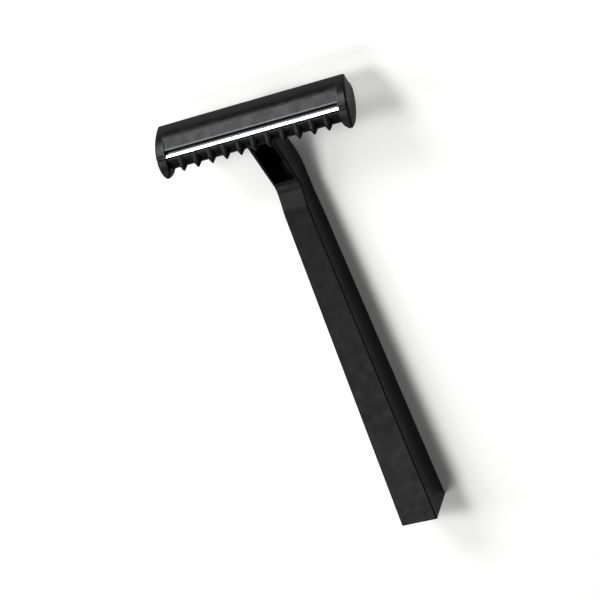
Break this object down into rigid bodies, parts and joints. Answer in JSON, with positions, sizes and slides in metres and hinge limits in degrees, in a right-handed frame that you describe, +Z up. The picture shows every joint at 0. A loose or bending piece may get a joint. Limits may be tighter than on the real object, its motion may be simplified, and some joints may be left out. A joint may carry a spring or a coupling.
{
  "type": "fixed-head comb-guard razor",
  "caption": "T-shaped disposable razor with a straight tapered handle, a webbed neck and a fixed head that clamps a steel strip between a rounded cap and a toothed comb guard.",
  "frame": {"origin": "middle of the footprint, on the surface that the razor lies on, back down", "axes": "+X along the head, +Y along the handle towards the head, +Z up, out of the shaving side"},
  "size_m": [0.0423, 0.0946, 0.0126],
  "materials": {
    "handle_plastic": "satin black moulded polystyrene",
    "cap_plastic": "satin black moulded polystyrene",
    "blade_steel": "stainless strip, ground and honed edge"
  },
  "bodies": {
    "root": {"handle": "handle_plastic", "blade": "blade_steel", "cap": "cap_plastic"}
  },
  "joints": []
}
